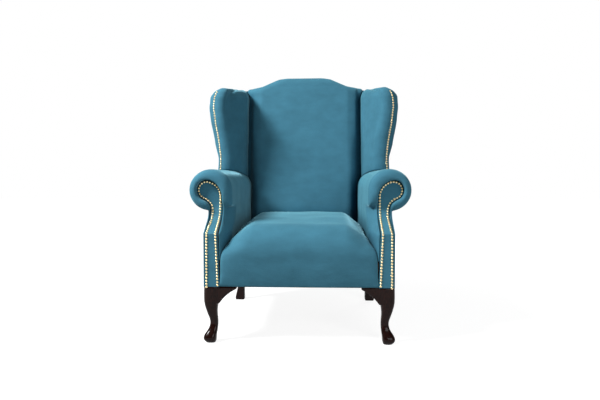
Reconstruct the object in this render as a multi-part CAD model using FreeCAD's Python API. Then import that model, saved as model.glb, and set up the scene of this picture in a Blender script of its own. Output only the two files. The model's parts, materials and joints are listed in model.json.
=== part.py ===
import FreeCAD, Part
import math
import os
from FreeCAD import Vector

# Wingback armchair with a tight sprung seat, scroll arms and cabriole front legs.
# All sizes are in millimetres. +Z is up, the chair faces -Y, and left is the -X side.
# Every y in this file is measured back from the front plane of the arms, and place() shifts
# it so that the origin lies on the floor under the middle of the chair.

# Main sizes
LEG_HEIGHT = 203.0
HALF_WIDTH = 341.0
RAIL_REAR_Y = 702.0
CAMEL_TOP_Z = 1080.0

# Fabric, gaps, boards and posts
FABRIC = 2.0
GAP = 0.3
BOARD = 28.0
RAIL_HEIGHT = 86.0
UNDERCLOTH = 1.5
POST_WIDE = 34.0
POST_DEEP = 44.0
PANEL_THICK = 3.0

# Chords for each arc of the swept forms; foam is cut flatter than its cover
SKIN_CHORDS = 5
FOAM_CHORDS = 2
LEG_CHORDS = 3

# Scroll arm and its facing
CREASE_Z = 397.0
SCROLL_Z = 550.0
SCROLL_RADIUS = 78.0
SCROLL_IN = 4.0
SCROLL_SETBACK = 96.0
ARM_FLAT = 6.0
ARM_CORNER = 95.0
ARM_BEHIND = 20.0
RAMP_RUN = 60.0
RAMP_RISE = 37.5
RAMP_TOP_DROP = 52.0
ROLL_PROUD = 26.0
ROLL_FOOT_DROP = 62.0
ROLL_FOOT_LIFT = 2.0
FACING_WIDE = 57.5
FACING_THICK = 9.0
STUMP_THICK = 42.0
NAIL_MARGIN = 7.0
ARM_BOARD_THICK = 25.0
ARM_BOARD_DROP = 20.0

# Sprung seat
SEAT_CROWN_Z = 446.0
SEAT_REAR_DROP = 14.0
SEAT_FLAT_HALF = 165.0
SEAT_EDGE_THICK = 40.0
SEAT_FRONT_BULGE = 13.0
SEAT_TUCK = 18.0
SEAT_ROLL_Y = 92.0
WEBBING_THICK = 2.5
WEBBING_WIDE = 50.0
HESSIAN = 1.5

# Back
BACK_LEAN = 0.078
BACK_THICK = 114.0
BACK_FRONT_LEAN = 0.145
BACK_BULGE = 9.0
BACK_FOOT_Z = 330.0
BACK_SIDE_ROLL = 44.0
BACK_ROLL_WIDE = 63.0
CAMEL_RISE = 46.0
CAMEL_HALF = 85.0
CAMEL_END_IN = 96.0
BACK_SIDE_DROP = 2.0
CREST_DROP = 30.0
CREST_DEEP = 88.0
TACK_RAIL_Z = 480.0
TACK_RAIL_HEIGHT = 60.0

# Wings
WING_DEEP = 250.0
WING_ROLL = 37.0
WING_TOP_DROP = 44.0
WING_WIDE_DROP = 85.0
WING_WAIST_RISE = 140.0
WING_FOOT_RISE = 50.0
WING_WIDE_OUT = 67.0
WING_WAIST_OUT = 41.0
WING_SLOPE = 0.13
WING_SWEEP = 24.0
WING_SEAM_IN = 70.0
WING_SEAM_DEEP = 68.0
WING_PAD = 34.0

# Legs
LEG_TOP_HALF = 27.0
KNEE_PROUD = 2.0
ANKLE_HALF = 14.5
FOOT_HALF = 22.5
BRACKET_REACH = 66.0
BRACKET_DROP = 62.0
BRACKET_THICK = 22.0
BRACKET_TIP = 8.0
REAR_LEG_HALF = 22.0
LEG_SOFTNESS = 0.65
REAR_LEG_SOFTNESS = 0.3
BOLT_RADIUS = 4.0
BOLT_LENGTH = 110.0
BLOCK_LEG = 58.0

# Places that follow from the sizes
FRONT_SHIFT = (SEAT_FRONT_BULGE - RAIL_REAR_Y - BACK_LEAN * (CAMEL_TOP_Z - LEG_HEIGHT)) / 2
RAIL_Z = LEG_HEIGHT + UNDERCLOTH
DECK_Z = RAIL_Z + RAIL_HEIGHT
PAD_FOOT_Z = DECK_Z + 2 * WEBBING_THICK + HESSIAN + GAP
FRONT_LEG_X = HALF_WIDTH + KNEE_PROUD - LEG_TOP_HALF
FRONT_LEG_Y = LEG_TOP_HALF - KNEE_PROUD
REAR_LEG_X = HALF_WIDTH - PANEL_THICK - REAR_LEG_HALF
REAR_LEG_Y = RAIL_REAR_Y - PANEL_THICK - REAR_LEG_HALF
SCROLL_X = HALF_WIDTH - SCROLL_IN
FACING_INNER_X = HALF_WIDTH - FACING_WIDE
ARM_INNER_X = SCROLL_X - ARM_FLAT - SCROLL_RADIUS
ARM_REAR_Y = RAIL_REAR_Y + ARM_BEHIND
RAMP_TOP_Z = SCROLL_Z - RAMP_TOP_DROP
STUMP_BACK = FACING_THICK + STUMP_THICK
POST_IN = HALF_WIDTH - FABRIC - PANEL_THICK - POST_WIDE
POST_FRONT_Y = RAIL_REAR_Y - PANEL_THICK - POST_DEEP
SIDE_IN = POST_IN + POST_WIDE - BOARD
BACK_FRONT_Y = RAIL_REAR_Y - BACK_THICK
SEAT_REAR_Y = BACK_FRONT_Y + SEAT_TUCK
SEAT_REAR_Z = SEAT_CROWN_Z - SEAT_REAR_DROP
SEAT_SIDE_DROP = SEAT_REAR_Z - PAD_FOOT_Z - SEAT_EDGE_THICK
SHOULDER_Z = CAMEL_TOP_Z - CAMEL_RISE
SHOULDER_X = HALF_WIDTH - CAMEL_END_IN
WING_INNER_X = HALF_WIDTH - WING_SEAM_IN
WING_INNER_Y = RAIL_REAR_Y - WING_SEAM_DEEP
WING_FRONT_Y = RAIL_REAR_Y - WING_DEEP
WING_FOOT_Z = SCROLL_Z + WING_FOOT_RISE
WING_WAIST_Z = SCROLL_Z + WING_WAIST_RISE
WING_TOP_Z = SHOULDER_Z - WING_TOP_DROP
WING_WIDE_Z = WING_TOP_Z - WING_WIDE_DROP
WING_WIDE_X = HALF_WIDTH + WING_WIDE_OUT
WING_WAIST_X = HALF_WIDTH + WING_WAIST_OUT
BACK_HALF = WING_INNER_X + WEBBING_THICK
BACK_ROLL_X = BACK_HALF - BACK_ROLL_WIDE


# Drawing helpers

def place(x, y, z):
    return Vector(x, y + FRONT_SHIFT, z)


def in_front(y):
    """Maps (x, z) outline points into the upright plane at depth y."""
    return lambda p: place(p[0], y, p[1])


def in_side(x):
    """Maps (y, z) outline points into the side plane at x."""
    return lambda p: place(x, p[0], p[1])


def in_plan(z, slope=0.0, pivot_y=0.0):
    """Maps (x, y) outline points into the plane at z, which may climb towards the back."""
    return lambda p: place(p[0], p[1], z + slope * (p[1] - pivot_y))


def outline(to_space, start, steps, chords=0):
    """Closed wire from start; a step is a point for a line, or (through, end) for an arc.

    With chords, each arc is drawn as that many equal chords.
    """
    edges = []
    here = to_space(start)
    for step in steps:
        if isinstance(step[0], tuple):
            there = to_space(step[1])
            arc = Part.Arc(here, to_space(step[0]), there).toShape()
            if chords:
                corners = arc.discretize(Number=chords + 1)
                edges += [Part.LineSegment(a, b).toShape() for a, b in zip(corners, corners[1:])]
            else:
                edges.append(arc)
        else:
            there = to_space(step)
            edges.append(Part.LineSegment(here, there).toShape())
        here = there
    if (here - to_space(start)).Length > 0.001:
        edges.append(Part.LineSegment(here, to_space(start)).toShape())
    return Part.Wire(edges)


def prism(wire, dx=0.0, dy=0.0, dz=0.0):
    return Part.Face(wire).extrude(Vector(dx, dy, dz))


def loft(wires):
    """Solid through outlines with equal step counts; polygons are joined by flat faces."""
    if any(isinstance(edge.Curve, Part.Circle) for edge in wires[0].Edges):
        return Part.makeLoft(wires, True, True)
    rings = [[vertex.Point for vertex in wire.OrderedVertexes] for wire in wires]
    faces = [Part.Face(wires[0]), Part.Face(wires[-1])]
    for low, high in zip(rings, rings[1:]):
        for corner in range(len(low)):
            a, b, c, d = low[corner - 1], low[corner], high[corner], high[corner - 1]
            faces.append(Part.Face(Part.makePolygon([a, b, c, a])))
            faces.append(Part.Face(Part.makePolygon([a, c, d, a])))
    shell = Part.makeShell(faces)
    shell.sewShape()
    return Part.makeSolid(shell)


def spread(first, last, count):
    """Evenly spaced values from first to last."""
    return [first + (last - first) * step / (count - 1) for step in range(count)]


def smooth_rows(rows, per_gap):
    """Rows of numbers with per_gap steps between each two, on a smooth curve through them all."""
    padded = [rows[0]] + rows + [rows[-1]]
    finer = []
    for before, start, end, after in zip(padded, padded[1:], padded[2:], padded[3:]):
        for step in range(per_gap):
            t = step / per_gap
            row = []
            for a, b, c, d in zip(before, start, end, after):
                slope_in = (c - a) / 2
                slope_out = (d - b) / 2
                bend = 2 * (b - c) + slope_in + slope_out
                row.append(b + slope_in * t + (c - b - slope_in - bend) * t ** 2 + bend * t ** 3)
            finer.append(row)
    return finer + [list(rows[-1])]


def box(x0, x1, y0, y1, z0, z1):
    return Part.makeBox(x1 - x0, y1 - y0, z1 - z0, place(x0, y0, z0))


def mirrored(shape):
    return shape.mirror(Vector(0, 0, 0), Vector(1, 0, 0))


def both_sides(shape):
    return Part.makeCompound([shape, mirrored(shape)])


def write(shape, name):
    shape.exportStep("parts/" + name + ".step")


def write_pair(shape, name):
    write(shape, name + "_right")
    write(mirrored(shape), name + "_left")


# Arm front: the nailed facing, the shaped stump behind it and the recess in the roll

def nail_loop():
    """Front outline of the nail rows: up the outer row, round the scroll, down the inner row."""
    def at(out, up):
        return (SCROLL_X + out, SCROLL_Z + up)

    return (SCROLL_X - 6.0, RAIL_Z), [
        (SCROLL_X - 7.0, CREASE_Z),
        at(-11.5, -110.0),
        (at(-12.5, -85.0), at(-9.0, -61.0)),
        (at(1.5, -44.0), at(20.0, -31.0)),
        (at(36.0, -20.0), at(42.0, -2.0)),
        (at(33.0, 22.0), at(8.0, 30.5)),
        (at(-26.0, 13.0), at(-40.5, -23.0)),
        (SCROLL_X - 39.0, CREASE_Z),
        (SCROLL_X - 46.0, RAIL_Z),
    ]


def ramp_turn():
    return math.atan2(RAMP_RUN, RAMP_RISE)


def ramp_y(z):
    """How far the arm front stands back from the front plane at height z."""
    bend_z = CREASE_Z + RAMP_RISE
    if z <= CREASE_Z:
        return 0.0
    if z <= bend_z:
        return RAMP_RUN * (z - CREASE_Z) / RAMP_RISE
    turn = ramp_turn()
    share = min((z - bend_z) / (RAMP_TOP_Z - bend_z), 1.0)
    angle = math.asin((1.0 - share) * math.sin(turn))
    rest = SCROLL_SETBACK - RAMP_RUN
    return RAMP_RUN + rest * (math.cos(angle) - math.cos(turn)) / (1.0 - math.cos(turn))


def facing_band(front, back):
    """Side view of the facing: upright to the crease, swept back, then upright at the scroll."""
    bend_z = CREASE_Z + RAMP_RISE
    mid_z = (bend_z + RAMP_TOP_Z) / 2
    top_z = SCROLL_Z + SCROLL_RADIUS

    def at(shift, z):
        return (ramp_y(z) + shift, z)

    steps = [
        at(front, CREASE_Z),
        at(front, bend_z),
        (at(front, mid_z), at(front, RAMP_TOP_Z)),
        at(front, top_z),
        at(back, top_z),
        at(back, RAMP_TOP_Z),
        (at(back, mid_z), at(back, bend_z)),
        at(back, CREASE_Z),
        at(back, RAIL_Z),
    ]
    wire = outline(in_side(0.0), at(front, RAIL_Z), steps)
    return prism(wire, dx=2 * HALF_WIDTH)


def facing_prism(grow, y0, y1):
    """The nail outline, grown sideways, drawn out from depth y0 to y1."""
    start, steps = nail_loop()
    wire = outline(in_front(y0), start, steps).makeOffset2D(grow)
    return prism(wire, dy=y1 - y0)


def facing_slab(grow, front, back):
    return facing_prism(grow, -40.0, 2 * SCROLL_SETBACK).common(facing_band(front, back))


def arm_facing():
    return facing_slab(NAIL_MARGIN, 0.0, FACING_THICK)


def arm_stump():
    stump = facing_slab(NAIL_MARGIN - 3.0, FACING_THICK, STUMP_BACK)
    return stump.cut(leg_bolt(FRONT_LEG_X, FRONT_LEG_Y, BOLT_RADIUS + GAP))


def outside_arm():
    """Flat outer side of the arm, from the scroll down to the rails."""
    top = SCROLL_Z - SCROLL_RADIUS - GAP
    sheet = box(HALF_WIDTH - PANEL_THICK, HALF_WIDTH, 0.0, 2 * RAIL_REAR_Y, RAIL_Z, top)
    sheet = sheet.common(facing_band(0.0, 2 * RAIL_REAR_Y))
    return sheet.cut(lean_band(POST_DEEP + PANEL_THICK, 2 * RAIL_REAR_Y))


# Padded arm

def arm_plan(z, inset, chords):
    """Level section of the arm below the scroll."""
    front = ramp_y(z) + inset
    outer = HALF_WIDTH - inset
    inner = ARM_INNER_X + inset
    steps = [
        (FACING_INNER_X, front),
        ((inner + ARM_CORNER * 0.18, front + ARM_CORNER * 0.35), (inner, front + ARM_CORNER)),
        (inner, ARM_REAR_Y - inset),
        (outer, ARM_REAR_Y - inset),
    ]
    return outline(in_plan(z), (outer, front), steps, chords)


def scroll_section(y, inset, chords, lift=0.0):
    """Upright section of the rolled arm top at depth y, with its foot raised by lift."""
    radius = SCROLL_RADIUS - inset
    crest_x = SCROLL_X - ARM_FLAT
    diagonal = radius * math.sqrt(0.5)
    foot_z = SCROLL_Z - ROLL_FOOT_DROP + lift
    steps = [
        (crest_x - radius, SCROLL_Z),
        ((crest_x - diagonal, SCROLL_Z + diagonal), (crest_x, SCROLL_Z + radius)),
        (SCROLL_X, SCROLL_Z + radius),
        ((SCROLL_X + diagonal, SCROLL_Z + diagonal), (SCROLL_X + radius, SCROLL_Z)),
        ((SCROLL_X + diagonal, SCROLL_Z - diagonal), (SCROLL_X, SCROLL_Z - radius)),
        (SCROLL_X, foot_z),
    ]
    return outline(in_front(y), (crest_x - radius, foot_z), steps, chords)


def arm_form(inset, chords=0):
    """Whole upholstered arm, drawn in by inset on its outer faces."""
    def plan(z):
        return arm_plan(z, inset, chords)

    base = prism(plan(PAD_FOOT_Z), dz=CREASE_Z - PAD_FOOT_Z)
    bend_z = CREASE_Z + RAMP_RISE
    swept = loft([plan(CREASE_Z), plan(bend_z)])
    upper = loft([plan(z) for z in spread(bend_z, RAMP_TOP_Z, 4)])
    front = SCROLL_SETBACK - ROLL_PROUD + inset
    ends = [(0.0, 22.0), (8.0, 8.0), (30.0, 0.0)]
    roll = loft([
        scroll_section(front + dy, inset + draw, chords, ROLL_FOOT_LIFT * draw) for dy, draw in ends])
    start = front + ends[-1][0]
    shank = prism(scroll_section(start, inset, chords), dy=ARM_REAR_Y - inset - start)
    return base.fuse([swept, upper, roll, shank]).removeSplitter()


def arm_inside(clearance):
    """What the padding goes round: facing, stump, arm board and the hollow of the arm."""
    slab = facing_slab(NAIL_MARGIN + clearance, -ROLL_PROUD - SCROLL_RADIUS, STUMP_BACK + clearance)
    board = arm_board_box(clearance)
    hollow_top = arm_board_z() + clearance
    hollow = box(POST_IN - BOARD, 2 * HALF_WIDTH, 0.0, 2 * ARM_REAR_Y, RAIL_Z, hollow_top)
    hollow = hollow.common(facing_band(STUMP_BACK, 2 * ARM_REAR_Y))
    skirt_top = SCROLL_Z - SCROLL_RADIUS
    skirt_in = HALF_WIDTH - PANEL_THICK - GAP
    skirt = box(skirt_in, 2 * HALF_WIDTH, -BOARD, 2 * ARM_REAR_Y, RAIL_Z, skirt_top)
    post = lean_band(-WEBBING_THICK - GAP, 2 * POST_DEEP).common(
        box(0.0, POST_IN + POST_WIDE + clearance, 0.0, 2 * ARM_REAR_Y, RAIL_Z, CAMEL_TOP_Z))
    return slab.fuse([board, hollow, skirt, post, wing_post(clearance)])


def arm_board_z():
    return SCROLL_Z - ARM_BOARD_THICK - ARM_BOARD_DROP


def arm_board_box(clearance):
    z = arm_board_z()
    front = SCROLL_SETBACK + STUMP_BACK
    return box(
        POST_IN - BOARD - clearance, POST_IN + POST_WIDE + 30.0 + clearance,
        front - clearance, POST_FRONT_Y, z - clearance, z + ARM_BOARD_THICK + clearance)


# Sprung seat

def seat_side(x, inset, chords):
    """Side section of the seat at x: rolled front, crowned top, and a step over the front rail."""
    out = max((abs(x) - SEAT_FLAT_HALF) / (FACING_INNER_X - SEAT_FLAT_HALF), 0.0)
    share = 1.0 - math.sqrt(1.0 - out ** 2)
    drop = SEAT_SIDE_DROP * share
    bulge = SEAT_FRONT_BULGE * (1.0 - 0.6 * share)
    roll_z = SEAT_CROWN_Z - 17.0 - drop - inset
    face_z = RAIL_Z + 0.42 * (roll_z - RAIL_Z)
    rail_y = STUMP_BACK - BOARD - GAP
    steps = [
        ((-0.75 * bulge + inset, (RAIL_Z + face_z) / 2), (inset - bulge, face_z)),
        ((0.16 * SEAT_ROLL_Y + inset, roll_z - 0.2 * (roll_z - face_z)), (SEAT_ROLL_Y, roll_z)),
        ((0.5 * SEAT_REAR_Y, SEAT_CROWN_Z + 2.0 - drop - inset),
         (SEAT_REAR_Y, SEAT_REAR_Z - drop - inset)),
        (SEAT_REAR_Y, PAD_FOOT_Z),
        (rail_y, PAD_FOOT_Z),
        (rail_y, RAIL_Z),
    ]
    return outline(in_side(x), (inset, RAIL_Z), steps, chords)


def seat_form(inset, chords=SKIN_CHORDS):
    turn = FACING_INNER_X - GAP - SEAT_FLAT_HALF
    xs = [SEAT_FLAT_HALF + turn * math.sin(angle) for angle in spread(0.0, math.pi / 2, 5)]
    return loft([seat_side(x, inset, chords) for x in [-x for x in reversed(xs)] + xs])


# Back

def rear_y(z):
    """Depth of the rear face of the chair at height z."""
    return RAIL_REAR_Y + BACK_LEAN * (z - RAIL_Z)


def lean_band(front, back, z0=RAIL_Z, z1=1.1 * CAMEL_TOP_Z):
    """Leaning slab across the chair, from front to back behind the frame's front face."""
    foot_y = rear_y(z0) - PANEL_THICK - POST_DEEP
    top_y = rear_y(z1) - PANEL_THICK - POST_DEEP
    steps = [(top_y + front, z1), (top_y + back, z1), (foot_y + back, z0)]
    return prism(outline(in_side(-2 * HALF_WIDTH), (foot_y + front, z0), steps), dx=4 * HALF_WIDTH)


def camel_arc():
    """Radius of the two equal arcs that join the shoulder to the hump."""
    run = (SHOULDER_X - CAMEL_HALF) / 2
    rise = (CAMEL_TOP_Z - SHOULDER_Z) / 2
    return (run * run + rise * rise) / (2 * rise)


def camel_z(x):
    """Height of the back's top edge at x."""
    radius = camel_arc()
    x = min(max(abs(x), CAMEL_HALF), SHOULDER_X)
    if x > (SHOULDER_X + CAMEL_HALF) / 2:
        return SHOULDER_Z + radius - math.sqrt(radius ** 2 - (SHOULDER_X - x) ** 2)
    return CAMEL_TOP_Z - radius + math.sqrt(radius ** 2 - (x - CAMEL_HALF) ** 2)


def camel_prism(drop, half, foot_z):
    """The camel outline, lowered by drop and half wide on each side, drawn through the back."""
    def at(x):
        return (x, camel_z(x) - drop)

    bend = (SHOULDER_X + CAMEL_HALF) / 2
    low = (SHOULDER_X + bend) / 2
    high = (CAMEL_HALF + bend) / 2
    steps = [(half, SHOULDER_Z - drop)]
    steps += [at(SHOULDER_X), (at(low), at(bend)), (at(high), at(CAMEL_HALF))]
    steps += [at(-CAMEL_HALF), (at(-high), at(-bend)), (at(-low), at(-SHOULDER_X))]
    steps += [(-half, SHOULDER_Z - drop), (-half, foot_z)]
    return prism(outline(in_front(RAIL_REAR_Y / 2), (half, foot_z), steps), dy=RAIL_REAR_Y)


def back_side(x, inset, chords):
    """Side section of the inside back at x, rolled over at the top and drawn back at the sides."""
    share = max((abs(x) - BACK_ROLL_X) / (BACK_HALF - BACK_ROLL_X), 0.0) ** 2
    top = camel_z(x) - inset - BACK_SIDE_DROP * share

    def front_y(z):
        return BACK_FRONT_Y + BACK_FRONT_LEAN * (z - SEAT_REAR_Z) + BACK_SIDE_ROLL * share + inset

    bend_z = top - 42.0
    middle_z = (BACK_FOOT_Z + bend_z) / 2
    top_y = front_y(top) + 32.0
    rear_z = top - 24.0
    steps = [
        ((front_y(middle_z) - BACK_BULGE, middle_z), (front_y(bend_z), bend_z)),
        ((front_y(top) + 6.0, top - 11.0), (top_y, top)),
        (((top_y + rear_y(rear_z) - inset) / 2 + 10.0, top - 4.5),
         (rear_y(rear_z) - inset, rear_z)),
        (rear_y(BACK_FOOT_Z) - inset, BACK_FOOT_Z),
    ]
    return outline(in_side(x), (front_y(BACK_FOOT_Z), BACK_FOOT_Z), steps, chords)


def back_form(inset, chords=SKIN_CHORDS):
    edge = BACK_HALF - inset
    bend = (SHOULDER_X + CAMEL_HALF) / 2
    xs = [CAMEL_HALF, (bend + CAMEL_HALF) / 2, bend, (bend + SHOULDER_X) / 2, SHOULDER_X, edge]
    return loft([back_side(x, inset, chords) for x in [-x for x in reversed(xs)] + xs])


def back_space():
    """The room that the frame, its webbing and the rear panel take up behind the padding."""
    half = POST_IN + POST_WIDE + GAP
    frame = camel_prism(CREST_DROP - GAP, half, RAIL_Z)
    frame = frame.common(lean_band(-WEBBING_THICK - GAP, POST_DEEP))
    panel_half = HALF_WIDTH - PANEL_THICK
    behind = lean_band(POST_DEEP, 3 * POST_DEEP).common(
        box(-panel_half, panel_half, 0.0, 2 * RAIL_REAR_Y, 0.0, 2 * CAMEL_TOP_Z))
    return [frame, behind]


def outside_back():
    """Camel-topped rear panel between the outer posts."""
    shift = POST_DEEP + GAP
    camel = camel_prism(0.0, HALF_WIDTH - PANEL_THICK - GAP, RAIL_Z)
    return camel.common(lean_band(shift, shift + PANEL_THICK))


# Wings

def wing_blend(z):
    """0 at the waist of the wing and 1 at its widest."""
    share = min(max((z - WING_WAIST_Z) / (WING_WIDE_Z - WING_WAIST_Z), 0.0), 1.0)
    return (1.0 - math.cos(math.pi * share)) / 2


def wing_roll_centre(z):
    """Middle of the wing's front roll at height z, as (x, y)."""
    outer = WING_WAIST_X + (WING_WIDE_X - WING_WAIST_X) * wing_blend(z)
    if z < WING_WAIST_Z:
        outer += 7.0 * ((WING_WAIST_Z - max(z, WING_FOOT_Z)) / (WING_WAIST_Z - WING_FOOT_Z)) ** 2
    if z > WING_WIDE_Z:
        outer -= 15.0 * ((z - WING_WIDE_Z) / (WING_TOP_Z - WING_WIDE_Z)) ** 2
    front = WING_FRONT_Y + WING_SWEEP * (1.0 - wing_blend(z))
    return outer - WING_ROLL, front + WING_ROLL


def wing_plane(z):
    """Plane of a wing section: level low down, and climbing to the back at the top."""
    climb = WING_SLOPE * max(z - WING_WAIST_Z, 0.0) / (WING_TOP_Z - WING_WAIST_Z)
    return in_plan(z, climb, WING_FRONT_Y)


def wing_stations():
    """Heights of the wing's sections, each with how far the rounded top has drawn in."""
    cap = WING_TOP_Z - WING_ROLL
    even = [WING_FOOT_Z] + spread(WING_WAIST_Z, WING_WIDE_Z, 4) + [cap]
    rounded = [(cap + 0.6 * WING_ROLL, 8.0), (WING_TOP_Z, 27.0)]
    return [(z, 0.0) for z in even] + rounded


def wing_section(z, draw, inset, chords):
    x, y = wing_roll_centre(z)
    pull = draw + inset
    roll = WING_ROLL - pull
    diagonal = roll * math.sqrt(0.5)
    rear = rear_y(z) - inset
    inner = (WING_INNER_X + pull, WING_INNER_Y + 0.3 * pull)
    near, far = 0.5 * roll, math.sqrt(0.75) * roll
    neck = (x - far, y - near)
    swell = ((inner[0] + neck[0]) / 2 - 4.0, (inner[1] + neck[1]) / 2 - 3.0)
    steps = [
        (swell, neck),
        ((x - near, y - far), (x, y - roll)),
        ((x + diagonal, y - diagonal), (x + roll, y)),
        (HALF_WIDTH - pull, rear),
        (WING_INNER_X + pull, rear),
    ]
    return outline(wing_plane(z), inner, steps, chords)


def wing_form(inset, chords=SKIN_CHORDS):
    return loft([wing_section(z, draw, inset, chords) for z, draw in wing_stations()])


def wing_outer_side():
    """The side of the wing that the outside panel covers, from its nails to the back."""
    wires = []
    for z, draw in wing_stations():
        x, y = wing_roll_centre(z)
        front = y - WING_ROLL - 5.0
        rear = rear_y(z) + 20.0
        beyond = HALF_WIDTH + 5 * WING_ROLL
        steps = [(beyond, front), (beyond, rear), (HALF_WIDTH - draw - 9.0, rear)]
        wires.append(outline(wing_plane(z), (x + 0.62 * (WING_ROLL - draw), front), steps))
    return loft(wires)


def wing_core(clearance=0.0):
    """The hollow of the wing, which holds its post and rail."""
    wires = []
    top = WING_TOP_Z - WING_ROLL - 4.0
    foot = arm_board_z() + ARM_BOARD_THICK
    for z in (foot, WING_WAIST_Z, WING_WIDE_Z, top):
        x, y = wing_roll_centre(z)
        front = y + 0.45 * WING_ROLL - clearance
        steps = [
            (x + 0.75 * WING_ROLL + clearance, front),
            (HALF_WIDTH - FABRIC - PANEL_THICK, rear_y(z)),
            (WING_INNER_X + WING_PAD, rear_y(z)),
            (WING_INNER_X + WING_PAD, WING_INNER_Y + 20.0),
        ]
        wires.append(outline(in_plan(z), (x - 4.0 - clearance, front), steps))
    return loft(wires)


def wing_post_y():
    return wing_roll_centre(WING_WAIST_Z)[1] + 0.45 * WING_ROLL + GAP


def wing_post(clearance=0.0):
    """Curved upright in the front of the wing, standing on the arm board."""
    foot = arm_board_z() + ARM_BOARD_THICK
    front = wing_post_y() - clearance
    back = wing_post_y() + BOARD + clearance
    return wing_core(clearance).common(box(0.0, 2 * HALF_WIDTH, front, back, foot, WING_TOP_Z))


def wing_rail():
    front = wing_post_y() + BOARD
    top = WING_TOP_Z - WING_ROLL - 4.0
    span = box(POST_IN, 2 * HALF_WIDTH, front, RAIL_REAR_Y + POST_DEEP, top - BOARD, top)
    return wing_core().common(span).cut(lean_band(0.0, 3 * POST_DEEP))


# Frame

def leg_bolt(x, y, radius=BOLT_RADIUS):
    foot = place(x, y, RAIL_Z - BOLT_LENGTH / 2)
    return Part.makeCylinder(radius, BOLT_LENGTH, foot, Vector(0, 0, 1))


def back_post():
    top = SHOULDER_Z - CREST_DROP - 6.0
    post = lean_band(0.0, POST_DEEP, RAIL_Z, top).common(
        box(POST_IN, POST_IN + POST_WIDE, 0.0, 2 * RAIL_REAR_Y, RAIL_Z, top))
    return post.cut(leg_bolt(REAR_LEG_X, REAR_LEG_Y, BOLT_RADIUS + GAP))


def crest_rail():
    foot = SHOULDER_Z - CREST_DROP - CREST_DEEP
    return camel_prism(CREST_DROP, POST_IN, foot).common(lean_band(0.0, BOARD))


def tack_rail():
    top = TACK_RAIL_Z + TACK_RAIL_HEIGHT
    across = box(-POST_IN, POST_IN, 0.0, 2 * RAIL_REAR_Y, TACK_RAIL_Z, top)
    return lean_band(0.0, BOARD, TACK_RAIL_Z, top).common(across)


def corner_block(x, y, step):
    """Triangular glue block in a corner of the seat frame; step is +1 or -1 along y."""
    wire = outline(in_plan(RAIL_Z + 10.0), (x, y), [(x - BLOCK_LEG, y), (x, y + step * BLOCK_LEG)])
    return prism(wire, dz=RAIL_HEIGHT - 20.0)


def front_rail():
    half = FACING_INNER_X + 2.0
    return box(-half, half, STUMP_BACK - BOARD, STUMP_BACK, RAIL_Z, DECK_Z)


def webbing_strips(along):
    """Elastic webbing over the seat rails; the cross strips lie on the long ones."""
    strips = []
    if along:
        for place_x in (-2, -1, 0, 1, 2):
            x = place_x * 2.1 * WEBBING_WIDE
            strips.append(box(x - WEBBING_WIDE / 2, x + WEBBING_WIDE / 2, STUMP_BACK - BOARD,
                              POST_FRONT_Y + BOARD, DECK_Z, DECK_Z + WEBBING_THICK))
        return Part.makeCompound(strips)
    low = DECK_Z + WEBBING_THICK
    for number in range(5):
        y = STUMP_BACK + 2.0 * WEBBING_WIDE * (number + 0.6)
        strips.append(box(-SIDE_IN - BOARD, SIDE_IN + BOARD, y, y + WEBBING_WIDE, low, low + WEBBING_THICK))
    return Part.makeCompound(strips)


def back_webbing():
    strips = []
    low = TACK_RAIL_Z + TACK_RAIL_HEIGHT + WEBBING_WIDE
    high = SHOULDER_Z - CREST_DROP - CREST_DEEP - 2 * WEBBING_WIDE
    for z in spread(low, high, 4):
        across = box(-POST_IN + GAP, POST_IN - GAP, 0.0, 2 * RAIL_REAR_Y, z, z + WEBBING_WIDE)
        strips.append(lean_band(-WEBBING_THICK, 0.0, z, z + WEBBING_WIDE).common(across))
    return Part.makeCompound(strips)


def hessian():
    """Cloth between the webbing and the seat padding."""
    low = DECK_Z + 2 * WEBBING_THICK
    return box(-SIDE_IN - BOARD, SIDE_IN + BOARD, STUMP_BACK, POST_FRONT_Y, low, low + HESSIAN)


def undercloth():
    """Dust cloth under the rails, cut away round the leg tops."""
    half = HALF_WIDTH - PANEL_THICK
    sheet = box(-half, half, FACING_THICK, RAIL_REAR_Y - PANEL_THICK, LEG_HEIGHT, RAIL_Z)
    beyond = 2 * RAIL_REAR_Y
    near = LEG_TOP_HALF + 1.0
    far = near + BRACKET_REACH
    ear = BRACKET_THICK + 6.0
    rear = REAR_LEG_HALF + 1.0
    notches = [
        box(FRONT_LEG_X - near, beyond, -BOARD, FRONT_LEG_Y + near, 0.0, beyond),
        box(FRONT_LEG_X - far, beyond, -BOARD, ear, 0.0, beyond),
        box(HALF_WIDTH - ear, beyond, -BOARD, FRONT_LEG_Y + far, 0.0, beyond),
        box(REAR_LEG_X - rear, beyond, REAR_LEG_Y - rear, beyond, 0.0, beyond),
    ]
    notches = notches[0].fuse(notches[1:])
    return sheet.cut([notches, mirrored(notches)])


# Legs

def rounded_square(x, y, z, half, softness):
    """Level section with corners rounded by softness times its half width."""
    radius = softness * half
    flat = half - radius
    corner = flat + radius * math.sqrt(0.5)
    steps = [
        (x + flat, y - half),
        ((x + corner, y - corner), (x + half, y - flat)),
        (x + half, y + flat),
        ((x + corner, y + corner), (x + flat, y + half)),
        (x - flat, y + half),
        ((x - corner, y + corner), (x - half, y + flat)),
        (x - half, y - flat),
        ((x - corner, y - corner), (x - flat, y - half)),
    ]
    return outline(in_plan(z), (x - flat, y - half), steps, LEG_CHORDS)


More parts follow.
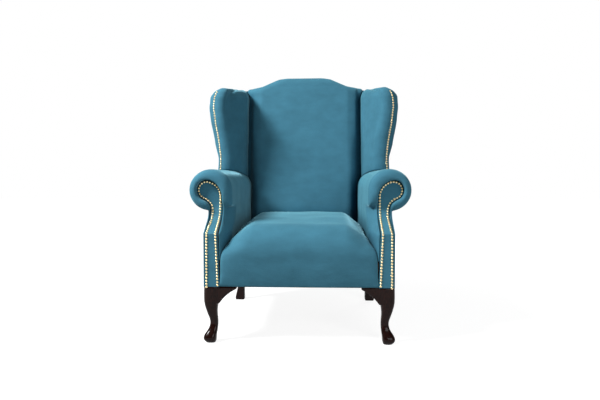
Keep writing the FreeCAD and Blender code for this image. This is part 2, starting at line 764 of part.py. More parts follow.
def front_leg():
    """Cabriole leg: full knee, slim ankle and pad foot, curving out along the corner's diagonal."""
    knee = LEG_TOP_HALF
    swell = [
        (RAIL_Z, 0.0, knee),
        (150.0, -1.5, knee - 1.5),
        (112.0, 0.5, knee - 8.0),
        (76.0, 6.5, ANKLE_HALF),
        (50.0, 4.0, ANKLE_HALF + 1.5),
        (26.0, -5.0, FOOT_HALF - 0.5),
        (12.0, -6.0, FOOT_HALF),
        (0.0, -3.0, FOOT_HALF - 6.0),
    ]
    wires = [
        rounded_square(FRONT_LEG_X - back, FRONT_LEG_Y + back, z, half, LEG_SOFTNESS)
        for z, back, half in smooth_rows(swell, 3)]
    return loft(wires).cut(leg_bolt(FRONT_LEG_X, FRONT_LEG_Y, BOLT_RADIUS + GAP))


def knee_brackets():
    """Carved ears that carry the knee's curve along the front and along the side."""
    inner = FRONT_LEG_X - LEG_TOP_HALF
    reach = inner - BRACKET_REACH
    low = RAIL_Z - BRACKET_DROP
    y = FRONT_LEG_Y - LEG_TOP_HALF + 5.0
    tip_z = RAIL_Z - BRACKET_TIP
    sag = 0.42 * BRACKET_REACH
    sag_z = RAIL_Z - 0.52 * BRACKET_DROP
    front = outline(in_front(y), (inner + 12.0, RAIL_Z), [
        (reach, RAIL_Z),
        (reach + 1.0, tip_z),
        ((inner - sag, sag_z), (inner - 2.0, low)),
        (inner + 12.0, low),
    ])
    behind = FRONT_LEG_Y + LEG_TOP_HALF
    far = behind + BRACKET_REACH
    x = HALF_WIDTH - 3.0 - BRACKET_THICK
    side = outline(in_side(x), (behind - 12.0, RAIL_Z), [
        (far, RAIL_Z),
        (far - 1.0, tip_z),
        ((behind + sag, sag_z), (behind + 2.0, low)),
        (behind - 12.0, low),
    ])
    pair = [prism(front, dy=BRACKET_THICK), prism(side, dx=BRACKET_THICK)]
    return Part.makeCompound([piece.cut(front_leg()) for piece in pair])


def rear_leg():
    """Square leg, drawn in above a foot that kicks out and back."""
    swell = [
        (RAIL_Z, 0.0, 0.0, REAR_LEG_HALF),
        (130.0, -3.0, 2.0, REAR_LEG_HALF - 3.5),
        (75.0, -7.0, 5.0, REAR_LEG_HALF - 6.5),
        (30.0, -2.0, 12.0, REAR_LEG_HALF - 2.0),
        (10.0, 0.0, 15.0, REAR_LEG_HALF),
        (0.0, 0.0, 15.0, REAR_LEG_HALF - 1.5),
    ]
    wires = [
        rounded_square(REAR_LEG_X + out, REAR_LEG_Y + back, z, half, REAR_LEG_SOFTNESS)
        for z, out, back, half in smooth_rows(swell, 2)]
    return loft(wires).cut(leg_bolt(REAR_LEG_X, REAR_LEG_Y, BOLT_RADIUS + GAP))


# Everything in its place

def build():
    os.makedirs("parts", exist_ok=True)

    write_pair(arm_facing(), "arm_facing")
    write_pair(arm_stump(), "arm_stump")
    write_pair(arm_board_box(0.0), "arm_board")
    write_pair(back_post(), "back_post")
    write(crest_rail(), "crest_rail")
    write(tack_rail(), "tack_rail")
    write(front_rail(), "front_rail")
    write(box(-POST_IN, POST_IN, POST_FRONT_Y, POST_FRONT_Y + BOARD, RAIL_Z, DECK_Z), "back_rail")
    write_pair(box(SIDE_IN, SIDE_IN + BOARD, STUMP_BACK, POST_FRONT_Y, RAIL_Z, DECK_Z), "side_rail")
    blocks = [corner_block(SIDE_IN, STUMP_BACK, 1.0), corner_block(SIDE_IN, POST_FRONT_Y, -1.0)]
    write(both_sides(Part.makeCompound(blocks)), "corner_blocks")
    write_pair(wing_post(), "wing_post")
    write_pair(wing_rail(), "wing_rail")
    write(webbing_strips(True), "seat_webbing_long")
    write(webbing_strips(False), "seat_webbing_cross")
    write(back_webbing(), "back_webbing")

    leg = front_leg()
    write_pair(leg, "front_leg")
    write_pair(knee_brackets(), "knee_brackets")
    write_pair(rear_leg(), "rear_leg")
    bolts = [leg_bolt(FRONT_LEG_X, FRONT_LEG_Y), leg_bolt(REAR_LEG_X, REAR_LEG_Y)]
    write(both_sides(Part.makeCompound(bolts)), "leg_bolts")

    arm_outer = arm_form(0.0)
    arm_inner = arm_form(FABRIC, FOAM_CHORDS)
    inside = arm_inside(GAP)
    write_pair(arm_inner.cut(inside), "arm_pad")
    write_pair(arm_outer.cut(arm_inner).cut(inside), "arm_cover")
    write_pair(outside_arm(), "outside_arm")

    arm_grown = arm_form(-GAP)
    arms = [arm_grown, mirrored(arm_grown)]
    back_room = back_space()
    back_inner = back_form(FABRIC, FOAM_CHORDS)
    write(back_inner.cut(arms + back_room), "back_pad")
    write(back_form(0.0).cut(back_inner).cut(arms + back_room), "back_cover")
    write(outside_back(), "outside_back")

    back_grown = back_form(-GAP)
    seat_inner = seat_form(FABRIC, FOAM_CHORDS)
    write(seat_inner.cut(arms + [back_grown]), "seat_pad")
    write(seat_form(0.0).cut(seat_inner).cut(arms + [back_grown]), "seat_cover")

    wing_inner = wing_form(FABRIC, FOAM_CHORDS)
    wing_outer = wing_form(0.0)
    outer_side = wing_outer_side()
    wing_room = [arm_grown, back_grown] + back_room
    write_pair(wing_inner.cut([wing_core()] + wing_room), "wing_pad")
    skin = wing_outer.cut(wing_inner).cut(wing_room)
    write_pair(skin.cut(outer_side), "wing_cover")
    write_pair(skin.common(outer_side), "outside_wing")
    write(hessian(), "seat_hessian")
    write(undercloth(), "undercloth")


if __name__ == "__main__":
    build()
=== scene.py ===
import json
import math

import bmesh
import bpy
from mathutils import Matrix, Vector, noise
from mathutils.bvhtree import BVHTree


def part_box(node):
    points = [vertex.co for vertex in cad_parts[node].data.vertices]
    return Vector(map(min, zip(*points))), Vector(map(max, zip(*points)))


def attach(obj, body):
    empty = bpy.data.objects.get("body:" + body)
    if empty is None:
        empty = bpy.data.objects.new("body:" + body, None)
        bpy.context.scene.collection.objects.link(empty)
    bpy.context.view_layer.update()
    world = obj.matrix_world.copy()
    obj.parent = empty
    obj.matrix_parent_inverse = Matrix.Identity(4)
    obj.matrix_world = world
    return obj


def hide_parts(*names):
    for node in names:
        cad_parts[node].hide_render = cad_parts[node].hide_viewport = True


# Looks of the velvet wingback armchair, in metres. +Z is up and the chair faces -Y.
# Depths named *_DEPTH are measured back from the front plane of the arm facings.

# Camera, set at the photograph's viewing point
CAMERA_X = 0.0768
CAMERA_AHEAD = 1.8274
CAMERA_HEIGHT = 0.595
CAMERA_DOWN = 2.44
CAMERA_TURN = 2.25
LENS = 31.05

# Mesh sizes of the remade soft and carved pieces
SOFT_VOXEL = 0.004
FACING_VOXEL = 0.0022
LEG_VOXEL = 0.0016

# Nails; those of a wing sit WING_NAIL_OUT of the roll's radius out from its middle
NAIL_RADIUS = 0.0044
NAIL_HEIGHT = 0.0034
NAIL_PITCH = 0.0108
DOME_FOOT = -0.3
LINE_STEP = 0.004
WING_NAILS_Z = 0.625
WING_NAIL_STEPS = 89
WING_NAIL_OUT = 0.62

# Nail line on an arm's front, as (out, up) from the scroll's middle: how far out the two rows
# are at the rail and at the crease, the first point of the scroll, and its arcs' middles and ends
OUTER_ROW = {"rail": -0.006, "crease": -0.007}
INNER_ROW = {"rail": -0.046, "crease": -0.039}
SCROLL_START = (-0.0115, -0.110)
SCROLL_ARCS = [
    ((-0.0125, -0.085), (-0.009, -0.061)),
    ((0.0015, -0.044), (0.020, -0.031)),
    ((0.036, -0.020), (0.042, -0.002)),
    ((0.033, 0.022), (0.008, 0.0305)),
    ((-0.026, 0.013), (-0.0405, -0.023)),
]

# Arm front, as the CAD source draws it
RAIL_Z = 0.2045
CREASE_Z = 0.397
SCROLL_X = 0.337
SCROLL_Z = 0.550
SCROLL_SETBACK = 0.096
RAMP_RUN = 0.060
RAMP_RISE = 0.0375
RAMP_TOP_Z = 0.498

# Wing edge, as the CAD source draws it
WING_FRONT_DEPTH = 0.452
WING_ROLL = 0.037
WING_SWEEP = 0.024
WING_FOOT_Z = 0.600
WING_WAIST_Z = 0.690
WING_WIDE_Z = 0.905
WING_TOP_Z = 0.990
WING_WAIST_X = 0.382
WING_WIDE_X = 0.408
WING_FOOT_FLARE = 0.007
WING_TOP_TURN = 0.015

# Shaping of the soft pieces; a pair is where a change begins and where it is complete
# Wings: thickening before the remesh, puffed outer side, fold beside the front roll
WING_SWELL = 0.0016
WING_PUFF = 0.011
PUFF_FACING = 0.3
PUFF_AHEAD = 0.7
PUFF_BEHIND = (0.03, 0.17)
PUFF_FROM_Z = (0.66, 0.76)
PUFF_UNTIL_Z = (0.95, 1.0)
WING_FOLD = 0.008
FOLD_WIDTH = 0.010
FOLD_INSIDE = 0.95
FOLD_FROM_Z = (0.76, 1.0)

# Inside back: its sides; its front stands BACK_DEPTH back at BACK_DEPTH_Z and leans from there
BACK_SIDE_SINK = 0.022
BACK_SINK_X = (0.215, 0.268)
BACK_SINK_UNTIL_Z = (0.60, 0.90)
BACK_SIDE_SPREAD = 0.008
BACK_SPREAD_X = (0.255, 0.268)
BACK_DEPTH = 0.62
BACK_DEPTH_Z = 0.65
BACK_LEAN = 0.145
BACK_SKIN = 0.08

# Seat: its sides; the rim beside the arms holds SEAT_RIM_SHARE of the sink back
SEAT_SIDE_SINK = 0.024
SEAT_SINK_X = (0.165, 0.240)
SEAT_RIM_X = (0.262, 0.283)
SEAT_RIM_SHARE = 0.6
SEAT_SIDE_SPREAD = 0.004
SEAT_SPREAD_X = (0.255, 0.275)
SEAT_TOP_Z = (0.30, 0.40)

# Flat outer panels: top edge of an arm's panel, sides and top corners of the rear panel
ARM_PANEL_TUCK = 0.009
ARM_PANEL_TOP_Z = 0.465
REAR_SIDE_SPREAD = 0.003
REAR_SIDE_X = 0.32
REAR_CORNER_DROP = 0.014
REAR_CORNER_Z = 1.0

# How far from a fold painted shade darkens the velvet's colour
CREASE_SHADE_REACH = 0.07

# Floor; its glow rises to white between the two distances from the chair's middle
FLOOR_HALF = 12.0
FLOOR_COLOUR = 0.30
FLOOR_GLOW = 0.88
SHADOW_REACH = 0.6
WHITE_FROM = 3.0

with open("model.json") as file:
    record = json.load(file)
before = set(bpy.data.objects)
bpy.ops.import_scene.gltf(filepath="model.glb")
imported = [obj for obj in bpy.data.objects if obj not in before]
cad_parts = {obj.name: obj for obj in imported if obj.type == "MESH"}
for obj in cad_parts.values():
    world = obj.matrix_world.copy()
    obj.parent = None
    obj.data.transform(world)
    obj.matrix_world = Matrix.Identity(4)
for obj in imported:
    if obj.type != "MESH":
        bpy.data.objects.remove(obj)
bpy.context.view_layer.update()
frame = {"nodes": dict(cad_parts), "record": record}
FRONT_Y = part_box("arm_facing_right")[0].y


# Materials

def new_material(name, **values):
    """A material with a Principled shader, whose named inputs are set to constant values."""
    material = bpy.data.materials.new(name)
    material.use_nodes = True
    shader = material.node_tree.nodes["Principled BSDF"]
    for key, value in values.items():
        shader.inputs[key.replace("_", " ")].default_value = value
    return material, shader


def add_noise(material, scale, detail=4.0, stretch=(1.0, 1.0, 1.0)):
    """Noise over the row frame; its scale is in waves per metre."""
    nodes, links = material.node_tree.nodes, material.node_tree.links
    coordinates = nodes.new("ShaderNodeTexCoord")
    mapping = nodes.new("ShaderNodeMapping")
    mapping.inputs["Scale"].default_value = stretch
    texture = nodes.new("ShaderNodeTexNoise")
    texture.inputs["Scale"].default_value = scale
    texture.inputs["Detail"].default_value = detail
    links.new(coordinates.outputs["Object"], mapping.inputs["Vector"])
    links.new(mapping.outputs["Vector"], texture.inputs["Vector"])
    return texture.outputs["Fac"]


def add_ramp(material, source, stops):
    """Colour ramp; a stop is (position, colour)."""
    ramp = material.node_tree.nodes.new("ShaderNodeValToRGB")
    ramp.color_ramp.elements[0].position, ramp.color_ramp.elements[0].color = stops[0]
    ramp.color_ramp.elements[1].position, ramp.color_ramp.elements[1].color = stops[-1]
    for position, colour in stops[1:-1]:
        ramp.color_ramp.elements.new(position).color = colour
    material.node_tree.links.new(source, ramp.inputs["Fac"])
    return ramp.outputs["Color"]


def mix_colours(material, kind, amount, first, second):
    """Blends two colour outputs; amount is a number or an output.

    The mix node's colours are its inputs 6 and 7 and its output 2.
    """
    links = material.node_tree.links
    mix = material.node_tree.nodes.new("ShaderNodeMix")
    mix.data_type = "RGBA"
    mix.blend_type = kind
    if isinstance(amount, float):
        mix.inputs["Factor"].default_value = amount
    else:
        links.new(amount, mix.inputs["Factor"])
    links.new(first, mix.inputs[6])
    links.new(second, mix.inputs[7])
    return mix.outputs[2]


def add_bump(material, shader, layers):
    """Stacks bumps; a layer is (height output, depth in metres)."""
    nodes, links = material.node_tree.nodes, material.node_tree.links
    normal = None
    for height, depth in layers:
        bump = nodes.new("ShaderNodeBump")
        bump.inputs["Distance"].default_value = depth
        bump.inputs["Strength"].default_value = 1.0
        links.new(height, bump.inputs["Height"])
        if normal:
            links.new(normal, bump.inputs["Normal"])
        normal = bump.outputs["Normal"]
    links.new(normal, shader.inputs["Normal"])


def make_velvet():
    """Teal velvet: painted sheen lightens its colour where a surface is seen edge-on, with brushed patches,
    and painted shade darkens its creases.
    """
    material, shader = new_material(
        "velvet", Roughness=0.9, Specular_IOR_Level=0.1,
        Sheen_Weight=0.35, Sheen_Roughness=0.4, Sheen_Tint=(0.42, 0.82, 0.95, 1.0))
    nodes, links = material.node_tree.nodes, material.node_tree.links
    # Painted sheen: the base colour lightens where the surface turns edge-on to the view
    facing = nodes.new("ShaderNodeLayerWeight")
    facing.inputs["Blend"].default_value = 0.30
    teal_and_painted_sheen = add_ramp(material, facing.outputs["Facing"], [
        (0.0, (0.042, 0.150, 0.215, 1.0)),
        (0.55, (0.048, 0.175, 0.245, 1.0)),
        (1.0, (0.110, 0.340, 0.420, 1.0)),
    ])
    brushed = add_ramp(material, add_noise(material, 14.0, 5.0, (1.0, 1.0, 1.7)), [
        (0.30, (0.89, 0.89, 0.89, 1.0)),
        (0.72, (1.08, 1.08, 1.08, 1.0)),
    ])
    grain = add_ramp(material, add_noise(material, 900.0, 2.0), [
        (0.30, (0.90, 0.90, 0.90, 1.0)),
        (0.70, (1.08, 1.08, 1.08, 1.0)),
    ])
    colour = mix_colours(material, "MULTIPLY", 1.0, teal_and_painted_sheen, brushed)
    colour = mix_colours(material, "MULTIPLY", 1.0, colour, grain)
    # Painted shade: ambient occlusion darkens the colour in creases, corners and joins
    creases = nodes.new("ShaderNodeAmbientOcclusion")
    creases.samples = 8
    creases.inputs["Distance"].default_value = CREASE_SHADE_REACH
    depth = add_ramp(material, creases.outputs["AO"], [
        (0.25, (0.10, 0.22, 0.27, 1.0)),
        (0.55, (0.62, 0.74, 0.78, 1.0)),
        (0.85, (1.0, 1.0, 1.0, 1.0)),
    ])
    colour = mix_colours(material, "MULTIPLY", 1.0, colour, depth)
    links.new(colour, shader.inputs["Base Color"])
    add_bump(material, shader, [
        (add_noise(material, 26.0, 3.0, (1.0, 1.0, 1.8)), 0.0012),
        (add_noise(material, 1400.0, 2.0), 0.00025),
    ])
    return material


def make_wood(name, dark, light, roughness, coat, along):
    """Wood with grain along one axis; coat is how much lacquer lies on it."""
    material, shader = new_material(
        name, Roughness=roughness, Specular_IOR_Level=0.05, Coat_Weight=coat, Coat_Roughness=0.06)
    grain = add_noise(material, 60.0, 6.0, along)
    links = material.node_tree.links
    links.new(add_ramp(material, grain, [(0.35, dark), (0.65, light)]), shader.inputs["Base Color"])
    add_bump(material, shader, [(grain, 0.0002)])
    return material


def make_metal(name, colour, worn, roughness):
    """Metal with worn, duller patches."""
    material, shader = new_material(name, Metallic=1.0)
    links = material.node_tree.links
    patches = add_noise(material, 220.0, 3.0)
    links.new(add_ramp(material, patches, [(0.35, worn), (0.6, colour)]), shader.inputs["Base Color"])
    rough = material.node_tree.nodes.new("ShaderNodeMapRange")
    rough.inputs["To Min"].default_value = roughness
    rough.inputs["To Max"].default_value = roughness + 0.18
    links.new(patches, rough.inputs["Value"])
    links.new(rough.outputs["Result"], shader.inputs["Roughness"])
    return material


def make_cloth(name, dark, light, threads):
    """Plain woven cloth with that many threads per metre."""
    material, shader = new_material(name, Roughness=0.95, Specular_IOR_Level=0.1)
    across = add_noise(material, threads, 1.0, (1.0, 0.12, 1.0))
    along = add_noise(material, threads, 1.0, (0.12, 1.0, 1.0))
    weave = mix_colours(material, "MIX", 0.5, across, along)
    links = material.node_tree.links
    links.new(add_ramp(material, weave, [(0.4, dark), (0.6, light)]), shader.inputs["Base Color"])
    add_bump(material, shader, [(weave, 0.0005)])
    return material


velvet = make_velvet()
mahogany = make_wood(
    "mahogany", (0.0045, 0.0012, 0.0010, 1.0), (0.016, 0.0042, 0.0028, 1.0),
    roughness=0.3, coat=0.16, along=(6.0, 6.0, 1.0))
beech = make_wood(
    "beech", (0.42, 0.27, 0.14, 1.0), (0.62, 0.45, 0.28, 1.0),
    roughness=0.6, coat=0.0, along=(1.0, 5.0, 5.0))
brass = make_metal("brass", (0.93, 0.78, 0.46, 1.0), (0.72, 0.54, 0.27, 1.0), roughness=0.2)
steel = make_metal("steel", (0.60, 0.60, 0.62, 1.0), (0.42, 0.42, 0.44, 1.0), roughness=0.3)
dust_cloth = make_cloth("dust_cloth", (0.004, 0.004, 0.004, 1.0), (0.02, 0.02, 0.021, 1.0), threads=700.0)
foam = make_cloth("foam", (0.70, 0.66, 0.52, 1.0), (0.82, 0.79, 0.66, 1.0), threads=300.0)

SLOT_LOOKS = {
    "velvet": velvet, "padding": foam, "lining": dust_cloth,
    "frame_wood": beech, "dark_wood": mahogany, "steel": steel,
}
for subpart in frame["record"]["subparts"]:
    mesh = frame["nodes"][subpart["node"]].data
    mesh.materials.clear()
    mesh.materials.append(SLOT_LOOKS[subpart["material_slot"]])


# Soft and carved pieces, remade from the CAD forms they stand for

def new_piece(name, build):
    """A mesh object from a bmesh, which is used up."""
    mesh = bpy.data.meshes.new(name)
    build.to_mesh(mesh)
    build.free()
    piece = bpy.data.objects.new(name, mesh)
    bpy.context.scene.collection.objects.link(piece)
    return piece


def settle(piece):
    """Applies the piece's modifiers to its mesh."""
    shaped = piece.evaluated_get(bpy.context.evaluated_depsgraph_get())
    mesh = bpy.data.meshes.new_from_object(shaped)
    piece.modifiers.clear()
    piece.data = mesh


def ripple(piece, depth, size, stretch=(1.0, 1.0, 1.0)):
    """Gentle unevenness of stuffed cloth: moves the surface by up to depth over patches of that size."""
    mesh = piece.data
    moved = []
    for vertex in mesh.vertices:
        point = Vector(c * s / size for c, s in zip(vertex.co, stretch))
        moved.append(vertex.co + vertex.normal * depth * noise.noise(point))
    for vertex, place in zip(mesh.vertices, moved):
        vertex.co = place


def share_between(value, low, high):
    """Share from 0 to 1 as value goes from low to high."""
    return min(max((value - low) / (high - low), 0.0), 1.0)


def smooth_step(value, low, high):
    """The share between low and high, easing at both ends."""
    share = share_between(value, low, high)
    return share * share * (3.0 - 2.0 * share)


def stand_for(piece, nodes, look):
    """Gives the piece one look, and shows it in place of the CAD nodes."""
    piece.data.materials.clear()
    piece.data.materials.append(look)
    for polygon in piece.data.polygons:
        polygon.material_index = 0
    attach(piece, "root")
    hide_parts(*nodes)


def remade(name, nodes, look, voxel, smoothing, soft_from=0.001, swell=0.0):
    """One smooth piece that stands for some CAD nodes which touch.

    Its foot stays crisp up to soft_from; swell thickens sheets thinner than a voxel.
    """
    build = bmesh.new()
    for node in nodes:
        build.from_mesh(frame["nodes"][node].data)
    piece = new_piece(name, build)
    thicken = piece.modifiers.new("thicken", "DISPLACE")
    thicken.mid_level = 0.0
    thicken.strength = swell
    remesh = piece.modifiers.new("remesh", "REMESH")
    remesh.mode = "VOXEL"
    remesh.voxel_size = voxel
    remesh.use_smooth_shade = True
    settle(piece)
    foot = min(vertex.co.z for vertex in piece.data.vertices)
    soft_part = piece.vertex_groups.new(name="soft")
    for vertex in piece.data.vertices:
        soft_part.add([vertex.index], smooth_step(vertex.co.z, foot, foot + soft_from), "REPLACE")
    smooth = piece.modifiers.new("smooth", "SMOOTH")
    smooth.iterations = smoothing
    smooth.vertex_group = "soft"
    settle(piece)
    stand_for(piece, nodes, look)
    return piece


def wing_blend(z):
    """Share from 0 at the wing's waist to 1 at its widest height."""
    return (1.0 - math.cos(math.pi * share_between(z, WING_WAIST_Z, WING_WIDE_Z))) / 2


def wing_roll(z):
    """Middle of the wing's front roll at height z, in the row frame, on the right-hand side."""
    outer = WING_WAIST_X + (WING_WIDE_X - WING_WAIST_X) * wing_blend(z)
    if z < WING_WAIST_Z:
        outer += WING_FOOT_FLARE * ((WING_WAIST_Z - z) / (WING_WAIST_Z - WING_FOOT_Z)) ** 2
    if z > WING_WIDE_Z:
        outer -= WING_TOP_TURN * ((z - WING_WIDE_Z) / (WING_TOP_Z - WING_WIDE_Z)) ** 2
    front = WING_FRONT_DEPTH + WING_SWEEP * (1.0 - wing_blend(z))
    return Vector((outer - WING_ROLL, FRONT_Y + front + WING_ROLL, z))


def wing_edge(z):
    """Point on the outer front edge of the wing, where its nails are, and the way it faces there."""
    angle = math.acos(WING_NAIL_OUT)
    normal = Vector((math.cos(angle), -math.sin(angle), 0.0))
    return wing_roll(z) + WING_ROLL * normal, normal


def shape_wing(wing):
    """Puffs the outer side behind the nails, and draws a soft fold down beside the front roll."""
    normals = [vertex.normal.copy() for vertex in wing.data.vertices]
    for vertex, normal in zip(wing.data.vertices, normals):
        x, y, z = abs(vertex.co.x), vertex.co.y, vertex.co.z
        outward = math.copysign(1.0, vertex.co.x)
        roll = wing_roll(z)
        off_fold = (x - roll.x + FOLD_INSIDE * WING_ROLL) / FOLD_WIDTH
        move = -WING_FOLD * normal * math.exp(-off_fold ** 2)
        move *= smooth_step(z, *FOLD_FROM_Z)
        if normal.x * outward > PUFF_FACING:
            puff = smooth_step(y, roll.y - PUFF_AHEAD * WING_ROLL, roll.y)
            puff *= 1.0 - smooth_step(y, roll.y + PUFF_BEHIND[0], roll.y + PUFF_BEHIND[1])
            puff *= smooth_step(z, *PUFF_FROM_Z) * (1.0 - smooth_step(z, *PUFF_UNTIL_Z))
            move.x += outward * WING_PUFF * puff
        vertex.co += move


def reshaped(name, node, move):
    """A velvet panel that stands for a CAD sheet, with each vertex shifted by move(place)."""
    build = bmesh.new()
    build.from_mesh(frame["nodes"][node].data)
    for vertex in build.verts:
        vertex.co += move(vertex.co)
    stand_for(new_piece(name, build), [node], velvet)


def tuck_top(place):
    """Carries the top edge of an outer arm panel up under the roll."""
    return Vector((0.0, 0.0, ARM_PANEL_TUCK if place.z > ARM_PANEL_TOP_Z else 0.0))


def drop_corner(place):
    """Draws the top corners of the rear panel down to the wings, and its sides out to the arms."""
    if abs(place.x) < REAR_SIDE_X:
        return Vector()
    drop = REAR_CORNER_DROP if place.z > REAR_CORNER_Z else 0.0
    return Vector((math.copysign(REAR_SIDE_SPREAD, place.x), 0.0, -drop))


def lower_seat_sides(seat):
    """Draws the top of the seat further down along the arms, and its sides out to the facings."""
    for vertex in seat.data.vertices:
        out = abs(vertex.co.x)
        share = smooth_step(out, *SEAT_SINK_X) * (1.0 - SEAT_RIM_SHARE * smooth_step(out, *SEAT_RIM_X))
        vertex.co.x += math.copysign(SEAT_SIDE_SPREAD, vertex.co.x) * smooth_step(out, *SEAT_SPREAD_X)
        vertex.co.z -= SEAT_SIDE_SINK * share * smooth_step(vertex.co.z, *SEAT_TOP_Z)


def deepen_back_sides(back):
    """Rolls the sides of the inside back into the crease beside each wing, and out to the wings."""
    for vertex in back.data.vertices:
        out = abs(vertex.co.x)
        share = smooth_step(out, *BACK_SINK_X)
        share *= 1.0 - smooth_step(vertex.co.z, *BACK_SINK_UNTIL_Z)
        vertex.co.x += math.copysign(BACK_SIDE_SPREAD, vertex.co.x) * smooth_step(out, *BACK_SPREAD_X)
        front = FRONT_Y + BACK_DEPTH + BACK_LEAN * (vertex.co.z - BACK_DEPTH_Z)
        if vertex.co.y < front + BACK_SKIN:
            share *= 1.0 - smooth_step(vertex.co.y, front, front + BACK_SKIN)
            vertex.co.y += BACK_SIDE_SINK * share


seat_nodes = ["seat_cover", "seat_pad"]
seat = remade("seat", seat_nodes, velvet, SOFT_VOXEL, smoothing=150, soft_from=0.06)
lower_seat_sides(seat)
ripple(seat, depth=0.0022, size=0.11)

back_nodes = ["back_cover", "back_pad"]
inside_back = remade(
    "inside_back", back_nodes, velvet, SOFT_VOXEL, smoothing=16, soft_from=0.05)
deepen_back_sides(inside_back)
ripple(inside_back, depth=0.0020, size=0.14, stretch=(1.0, 1.0, 1.6))

reshaped("rear_panel", "outside_back", drop_corner)
for side in ("left", "right"):
    arm_nodes = ["arm_cover_" + side, "arm_pad_" + side]
    arm = remade("arm_" + side, arm_nodes, velvet, SOFT_VOXEL, smoothing=26, soft_from=0.03)
    ripple(arm, depth=0.0018, size=0.09)
    wing_nodes = ["wing_cover_" + side, "wing_pad_" + side, "outside_wing_" + side]
    wing = remade(
        "wing_" + side, wing_nodes, velvet, SOFT_VOXEL, smoothing=14, swell=WING_SWELL)
    shape_wing(wing)
    ripple(wing, depth=0.0022, size=0.08, stretch=(1.5, 1.5, 0.6))
    reshaped("side_panel_" + side, "outside_arm_" + side, tuck_top)
    facing_nodes = ["arm_facing_" + side]
    remade("facing_" + side, facing_nodes, velvet, FACING_VOXEL, smoothing=5)
    front_nodes = ["front_leg_" + side, "knee_brackets_" + side]
    remade("carved_leg_" + side, front_nodes, mahogany, LEG_VOXEL, smoothing=14)
    rear_nodes = ["rear_leg_" + side]
    remade("back_leg_" + side, rear_nodes, mahogany, LEG_VOXEL, smoothing=10)


# Nails

def add_nail(build, place, normal):
    """A domed head seated on place, standing out along normal."""
    turn = normal.to_track_quat("Z", "Y").to_matrix().to_4x4()
    stretch = Matrix.Diagonal((NAIL_RADIUS, NAIL_RADIUS, NAIL_HEIGHT, 1.0))
    made = bmesh.ops.create_uvsphere(build, u_segments=12, v_segments=8, radius=1.0)
    below = [vertex for vertex in made["verts"] if vertex.co.z < DOME_FOOT]
    bmesh.ops.transform(build, matrix=Matrix.Translation(place) @ turn @ stretch, verts=made["verts"])
    bmesh.ops.delete(build, geom=below, context="VERTS")


def arc_points(start, through, end, steps=12):
    """Points of the circle arc from start to end, past through, in a plane."""
    ax, ay = start
    bx, by = through
    cx, cy = end
    turn = 2 * (ax * (by - cy) + bx * (cy - ay) + cx * (ay - by))
    a2, b2, c2 = ax * ax + ay * ay, bx * bx + by * by, cx * cx + cy * cy
    mid_x = (a2 * (by - cy) + b2 * (cy - ay) + c2 * (ay - by)) / turn
    mid_y = (a2 * (cx - bx) + b2 * (ax - cx) + c2 * (bx - ax)) / turn
    radius = math.hypot(ax - mid_x, ay - mid_y)
    first = math.atan2(ay - mid_y, ax - mid_x)
    middle = math.atan2(by - mid_y, bx - mid_x)
    last = math.atan2(cy - mid_y, cx - mid_x)
    sweep = (last - first) % math.tau
    if (middle - first) % math.tau > sweep:
        sweep -= math.tau
    angles = [first + sweep * k / steps for k in range(1, steps + 1)]
    return [(mid_x + radius * math.cos(angle), mid_y + radius * math.sin(angle)) for angle in angles]


def nail_loop():
    """Front line of the nails on an arm: up the outer row, round the scroll, down the inner row."""
    def at(out, up):
        return (SCROLL_X + out, SCROLL_Z + up)

    line = [
        (SCROLL_X + OUTER_ROW["rail"], RAIL_Z),
        (SCROLL_X + OUTER_ROW["crease"], CREASE_Z),
        at(*SCROLL_START),
    ]
    for through, end in SCROLL_ARCS:
        line += arc_points(line[-1], at(*through), at(*end))
    line.append((SCROLL_X + INNER_ROW["crease"], CREASE_Z))
    line.append((SCROLL_X + INNER_ROW["rail"], RAIL_Z))
    return line


def ramp_depth(z):
    """How far the arm front stands back from the front plane at height z."""
    bend_z = CREASE_Z + RAMP_RISE
    if z <= CREASE_Z:
        return 0.0
    if z <= bend_z:
        return RAMP_RUN * (z - CREASE_Z) / RAMP_RISE
    turn = math.atan2(RAMP_RUN, RAMP_RISE)
    share = min((z - bend_z) / (RAMP_TOP_Z - bend_z), 1.0)
    angle = math.asin((1.0 - share) * math.sin(turn))
    rest = SCROLL_SETBACK - RAMP_RUN
    return RAMP_RUN + rest * (math.cos(angle) - math.cos(turn)) / (1.0 - math.cos(turn))


def facing_place(x, z):
    """Point on the arm's front, and the way it faces there."""
    step = 0.002
    lean = (ramp_depth(z + step) - ramp_depth(z - step)) / (2 * step)
    return Vector((x, FRONT_Y + ramp_depth(z), z)), Vector((0.0, -1.0, lean)).normalized()


def evenly(places, pitch):
    """Points spaced by pitch along a run of (point, normal) places."""
    spaced = []
    carried = 0.0
    for (here, normal), (there, _) in zip(places, places[1:]):
        length = (there - here).length
        while carried < length:
            spaced.append((here.lerp(there, carried / length), normal))
            carried += pitch
        carried -= length
    return spaced


def add_nails(name, places, side, ground):
    """A row of nails along the right-hand places or their mirror image, seated on the piece ground."""
    build = bmesh.new()
    flip = Vector((side, 1.0, 1.0))
    mesh = bpy.data.objects[ground].data
    surface = BVHTree.FromPolygons(
        [vertex.co for vertex in mesh.vertices], [polygon.vertices for polygon in mesh.polygons])
    for place, normal in evenly(places, NAIL_PITCH):
        seat_place = surface.find_nearest(place * flip)[0]
        add_nail(build, seat_place, normal * flip)
    nails = new_piece(name, build)
    nails.data.materials.append(brass)
    for polygon in nails.data.polygons:
        polygon.use_smooth = True
    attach(nails, "root")


loop = nail_loop()
arm_places = []
for (x0, z0), (x1, z1) in zip(loop, loop[1:]):
    count = max(int(math.hypot(x1 - x0, z1 - z0) / LINE_STEP), 1)
    for k in range(count):
        arm_places.append(facing_place(x0 + (x1 - x0) * k / count, z0 + (z1 - z0) * k / count))
wing_places = [wing_edge(WING_NAILS_Z + LINE_STEP * k) for k in range(WING_NAIL_STEPS)]
for name, side in (("left", -1.0), ("right", 1.0)):
    add_nails("arm_nails_" + name, arm_places, side, "facing_" + name)
    add_nails("wing_nails_" + name, wing_places, side, "wing_" + name)


# Stage, light and camera

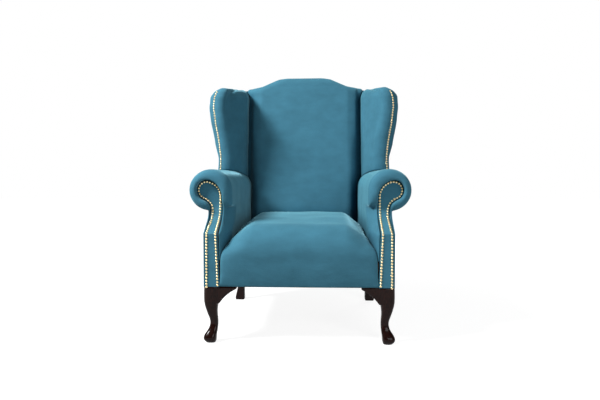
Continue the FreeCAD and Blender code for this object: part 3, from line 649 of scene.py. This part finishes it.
def seen_directly(nodes, links, also):
    """1 for camera rays and for the other kind of ray named, 0 for the rest."""
    path = nodes.new("ShaderNodeLightPath")
    seen = nodes.new("ShaderNodeMath")
    seen.operation = "MAXIMUM"
    links.new(path.outputs["Is Camera Ray"], seen.inputs[0])
    links.new(path.outputs[also], seen.inputs[1])
    return seen.outputs[0]


def make_stage_material():
    """Pale floor that the camera sees as white, apart from the chair's soft shadow."""
    material = bpy.data.materials.new("stage")
    material.use_nodes = True
    nodes, links = material.node_tree.nodes, material.node_tree.links
    nodes.clear()
    diffuse = nodes.new("ShaderNodeBsdfDiffuse")
    diffuse.inputs["Color"].default_value = (FLOOR_COLOUR, FLOOR_COLOUR, FLOOR_COLOUR, 1.0)
    place = nodes.new("ShaderNodeTexCoord")
    away = nodes.new("ShaderNodeVectorMath")
    away.operation = "LENGTH"
    links.new(place.outputs["Object"], away.inputs[0])
    level = nodes.new("ShaderNodeMapRange")
    level.interpolation_type = "SMOOTHSTEP"
    level.inputs["From Min"].default_value = SHADOW_REACH
    level.inputs["From Max"].default_value = WHITE_FROM
    level.inputs["To Min"].default_value = FLOOR_GLOW
    level.inputs["To Max"].default_value = 1.0
    links.new(away.outputs["Value"], level.inputs["Value"])
    strength = nodes.new("ShaderNodeMath")
    strength.operation = "MULTIPLY"
    links.new(seen_directly(nodes, links, "Is Glossy Ray"), strength.inputs[0])
    links.new(level.outputs["Result"], strength.inputs[1])
    glow = nodes.new("ShaderNodeEmission")
    links.new(strength.outputs[0], glow.inputs["Strength"])
    both = nodes.new("ShaderNodeAddShader")
    links.new(diffuse.outputs[0], both.inputs[0])
    links.new(glow.outputs[0], both.inputs[1])
    output = nodes.new("ShaderNodeOutputMaterial")
    links.new(both.outputs[0], output.inputs["Surface"])
    return material


def make_world(strength):
    """Soft even light, and a white background where the camera sees it, also through glass."""
    world = bpy.data.worlds.new("studio")
    bpy.context.scene.world = world
    world.use_nodes = True
    nodes, links = world.node_tree.nodes, world.node_tree.links
    background = nodes["Background"]
    background.inputs["Color"].default_value = (1.0, 1.0, 1.0, 1.0)
    level = nodes.new("ShaderNodeMapRange")
    level.inputs["To Min"].default_value = strength
    level.inputs["To Max"].default_value = 1.0
    links.new(seen_directly(nodes, links, "Is Transmission Ray"), level.inputs["Value"])
    links.new(level.outputs["Result"], background.inputs["Strength"])


def add_light(name, place, aim, size, power):
    """A square softbox at place, turned to aim."""
    data = bpy.data.lights.new(name, "AREA")
    data.size = size
    data.energy = power
    light = bpy.data.objects.new(name, data)
    light.location = place
    light.rotation_euler = (Vector(aim) - Vector(place)).to_track_quat("-Z", "Y").to_euler()
    bpy.context.scene.collection.objects.link(light)


floor_build = bmesh.new()
bmesh.ops.create_grid(floor_build, x_segments=1, y_segments=1, size=FLOOR_HALF)
floor = new_piece("floor", floor_build)
floor.data.materials.append(make_stage_material())

make_world(strength=0.08)
CHAIR_MIDDLE = (0.0, 0.0, 0.55)
add_light("key", (-2.35, -1.25, 2.75), CHAIR_MIDDLE, size=0.8, power=205.0)
add_light("fill", (1.3, -2.8, 1.3), CHAIR_MIDDLE, size=1.5, power=44.0)
add_light("rear", (1.2, 2.8, 1.6), CHAIR_MIDDLE, size=1.6, power=26.0)

camera_data = bpy.data.cameras.new("camera")
camera_data.lens = LENS
camera = bpy.data.objects.new("camera", camera_data)
camera.location = (CAMERA_X, FRONT_Y - CAMERA_AHEAD, CAMERA_HEIGHT)
camera.rotation_euler = (math.radians(90.0 - CAMERA_DOWN), 0.0, math.radians(CAMERA_TURN))
bpy.context.scene.collection.objects.link(camera)
bpy.context.scene.camera = camera
bpy.context.scene.view_settings.view_transform = "Standard"
